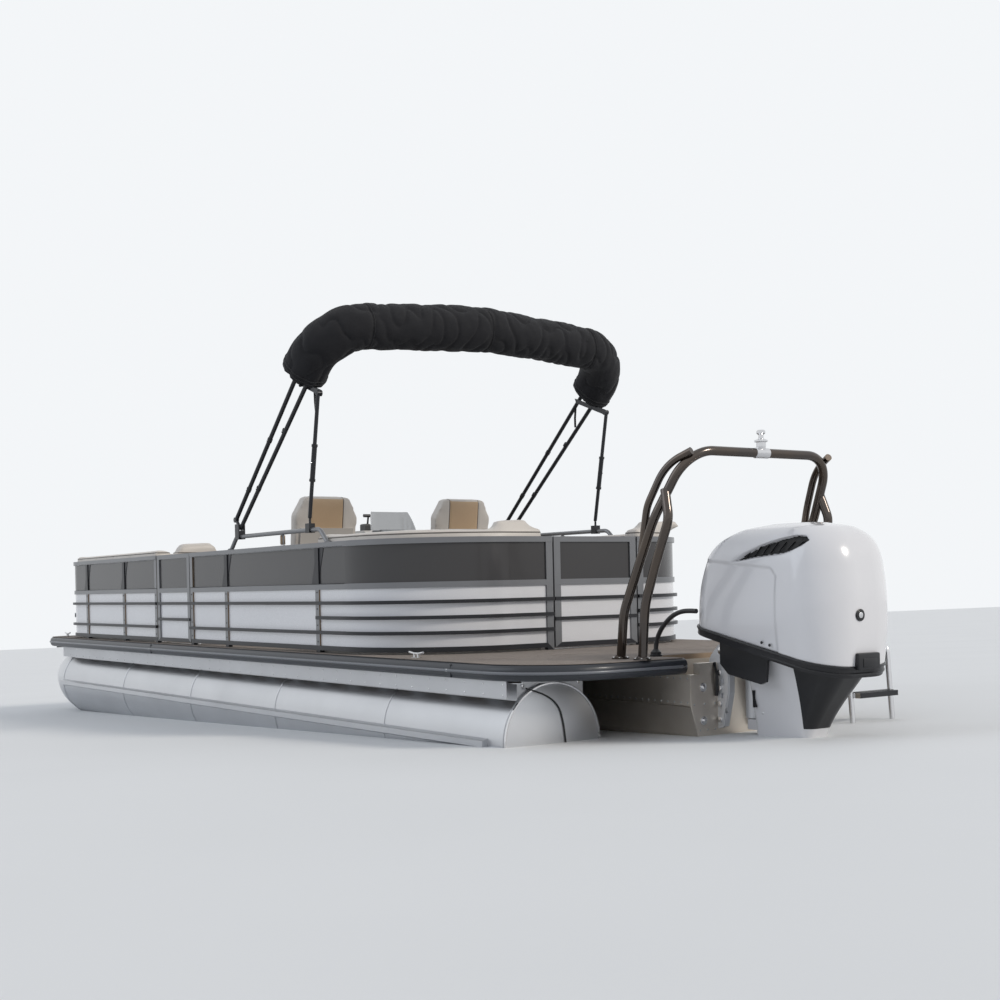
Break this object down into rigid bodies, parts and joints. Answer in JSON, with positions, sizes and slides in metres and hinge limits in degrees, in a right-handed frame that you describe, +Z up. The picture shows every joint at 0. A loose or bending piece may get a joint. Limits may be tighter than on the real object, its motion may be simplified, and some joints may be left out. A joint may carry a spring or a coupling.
{
  "type": "pontoon boat",
  "caption": "Deck boat on two round tubes with fenced cockpit, lounges, helm, folded-back canopy on raked tubes, tow bar and a hung outboard engine.",
  "frame": {"origin": "in the water plane of the floating boat, on its centreline below the middle of the deck", "axes": "+X to the bow, +Y to port, +Z up"},
  "size_m": [9.675, 2.688, 3.4491],
  "materials": {
    "hull_aluminium": "brushed, bare",
    "deck_board": "plain, hidden",
    "floor_vinyl": "woven matt",
    "rub_rubber": "satin",
    "fence_dark": "satin",
    "panel_silver": "gloss",
    "panel_charcoal": "gloss",
    "bright_metal": "polished",
    "tow_metal": "dark polished",
    "canopy_tube": "satin",
    "canopy_cloth": "matt",
    "seat_shell": "matt",
    "seat_vinyl": "soft satin",
    "console_shell": "gloss",
    "dash_black": "satin",
    "screen_smoke": "clear",
    "engine_white": "pearl gloss",
    "engine_black": "gloss",
    "engine_metal": "painted satin",
    "propeller_steel": "polished",
    "black_rubber": "matt",
    "lamp_lens": "clear",
    "wheel_black": "satin"
  },
  "bodies": {
    "hull": {"pontoon_port": "hull_aluminium", "pontoon_stbd": "hull_aluminium", "deck_framing": "hull_aluminium", "deck_plate": "deck_board", "floor_covering": "floor_vinyl", "rub_rail": "rub_rubber", "motor_pod": "hull_aluminium", "deck_fittings": "bright_metal", "fence_frame_port_fore": "fence_dark", "fence_frame_port_aft": "fence_dark", "fence_frame_stbd": "fence_dark", "lower_panels": "panel_silver", "upper_panels": "panel_charcoal", "gate_hinges": "bright_metal", "bow_lamps": "lamp_lens", "raised_rails": "fence_dark", "canopy_mounts": "canopy_tube", "tow_bar": "tow_metal", "tow_pylon": "bright_metal", "seat_bases": "seat_shell", "seat_corner_cushions": "seat_vinyl", "seat_backs_bow": "seat_vinyl", "seat_backs_aft": "seat_vinyl", "helm_console": "console_shell", "helm_dash": "dash_black", "helm_throttle": "dash_black", "helm_windscreen": "screen_smoke", "chair_pedestals": "bright_metal", "outboard_clamp": "engine_metal", "control_hose": "black_rubber", "transducer_cable": "black_rubber", "transducer": "black_rubber"},
    "gate_port": {"gate_port_frame": "fence_dark", "gate_port_panels": "panel_silver"},
    "gate_stern": {"gate_stern_frame": "fence_dark", "gate_stern_panels": "panel_silver"},
    "gate_bow": {"gate_bow_frame": "fence_dark", "gate_bow_panels": "panel_silver"},
    "canopy": {"canopy_bows": "canopy_tube", "canopy_boot": "canopy_cloth"},
    "strut_port": {"canopy_strut_port": "canopy_tube"},
    "strut_stbd": {"canopy_strut_stbd": "canopy_tube"},
    "lid_bow_port": {"seat_lid_bow_port": "seat_vinyl"},
    "lid_bow_stbd": {"seat_lid_bow_stbd": "seat_vinyl"},
    "lid_aft_port": {"seat_lid_aft_port": "seat_vinyl"},
    "lid_aft_stbd": {"seat_lid_aft_stbd": "seat_vinyl"},
    "wheel": {"helm_wheel": "wheel_black"},
    "helm_chair": {"helm_chair_frame": "seat_shell", "helm_chair_cushions": "seat_vinyl"},
    "companion_chair": {"companion_chair_frame": "seat_shell", "companion_chair_cushions": "seat_vinyl"},
    "engine_tilt": {"outboard_swivel": "engine_metal"},
    "engine": {"outboard_cowl": "engine_white", "outboard_apron": "engine_black", "outboard_powerhead": "engine_metal", "outboard_midsection": "engine_metal", "outboard_gearcase": "engine_metal"},
    "screw": {"propeller": "propeller_steel"},
    "boarding_ladder": {"ladder": "bright_metal"}
  },
  "joints": [
    {"name": "gate_port_hinge", "type": "hinge", "parent": "hull", "child": "gate_port", "pos_m": [0.236, 1.174, 0.95], "axis": [0, 0, -1], "range_deg": [0, 90]},
    {"name": "gate_stern_hinge", "type": "hinge", "parent": "hull", "child": "gate_stern", "pos_m": [-2.989, -0.554, 0.95], "axis": [0, 0, -1], "range_deg": [0, 90]},
    {"name": "gate_bow_hinge", "type": "hinge", "parent": "hull", "child": "gate_bow", "pos_m": [3.319, -0.334, 0.95], "axis": [0, 0, 1], "range_deg": [0, 90]},
    {"name": "canopy_raise", "type": "hinge", "parent": "hull", "child": "canopy", "pos_m": [-0.69, 0, 1.462], "axis": [0, 1, 0], "range_deg": [0, 50]},
    {"name": "strut_port_swing", "type": "hinge", "parent": "canopy", "child": "strut_port", "pos_m": [-1.958, 1.199, 2.272], "axis": [0, 1, 0], "range_deg": [-38, 0]},
    {"name": "strut_stbd_swing", "type": "hinge", "parent": "canopy", "child": "strut_stbd", "pos_m": [-1.958, -1.199, 2.272], "axis": [0, 1, 0], "range_deg": [-38, 0]},
    {"name": "lid_bow_port_hinge", "type": "hinge", "parent": "hull", "child": "lid_bow_port", "pos_m": [2.1, 1.021, 1.02], "axis": [-1, 0, 0], "range_deg": [0, 75]},
    {"name": "lid_bow_stbd_hinge", "type": "hinge", "parent": "hull", "child": "lid_bow_stbd", "pos_m": [2.1, -1.021, 1.02], "axis": [1, 0, 0], "range_deg": [0, 75]},
    {"name": "lid_aft_port_hinge", "type": "hinge", "parent": "hull", "child": "lid_aft_port", "pos_m": [-2.05, 1.021, 1.02], "axis": [-1, 0, 0], "range_deg": [0, 75]},
    {"name": "lid_aft_stbd_hinge", "type": "hinge", "parent": "hull", "child": "lid_aft_stbd", "pos_m": [-1.8, -1.021, 1.02], "axis": [1, 0, 0], "range_deg": [0, 75]},
    {"name": "helm_chair_swivel", "type": "hinge", "parent": "hull", "child": "helm_chair", "pos_m": [-0.45, -0.7, 0.9], "axis": [0, 0, 1], "continuous": true},
    {"name": "companion_chair_swivel", "type": "hinge", "parent": "hull", "child": "companion_chair", "pos_m": [-0.45, 0.52, 0.9], "axis": [0, 0, 1], "continuous": true},
    {"name": "engine_tilt_hinge", "type": "hinge", "parent": "hull", "child": "engine_tilt", "pos_m": [-4.545, 0, 0.625], "axis": [0, 1, 0], "range_deg": [-4, 62], "deforming": ["control_hose"]},
    {"name": "engine_steer", "type": "hinge", "parent": "engine_tilt", "child": "engine", "pos_m": [-4.64, 0, 0.43], "axis": [0, 0, 1], "range_deg": [-30, 30], "deforming": ["control_hose"]},
    {"name": "wheel_turn", "type": "hinge", "parent": "hull", "child": "wheel", "pos_m": [0.16922, -0.79, 1.30103], "axis": [-0.8829, 0, 0.4695], "range_deg": [-540, 540]},
    {"name": "screw_spin", "type": "hinge", "parent": "engine", "child": "screw", "pos_m": [-5.05, 0, -0.275], "axis": [1, 0, 0], "continuous": true},
    {"name": "ladder_fold", "type": "hinge", "parent": "hull", "child": "boarding_ladder", "pos_m": [-4.39, -0.93, 0.625], "axis": [0, 1, 0], "range_deg": [0, 176]}
  ],
  "couplings": [
    {"joint": "strut_port_swing", "follows": "canopy_raise", "ratio": -0.74},
    {"joint": "strut_stbd_swing", "follows": "canopy_raise", "ratio": -0.74},
    {"joint": "wheel_turn", "follows": "engine_steer", "ratio": 18}
  ]
}
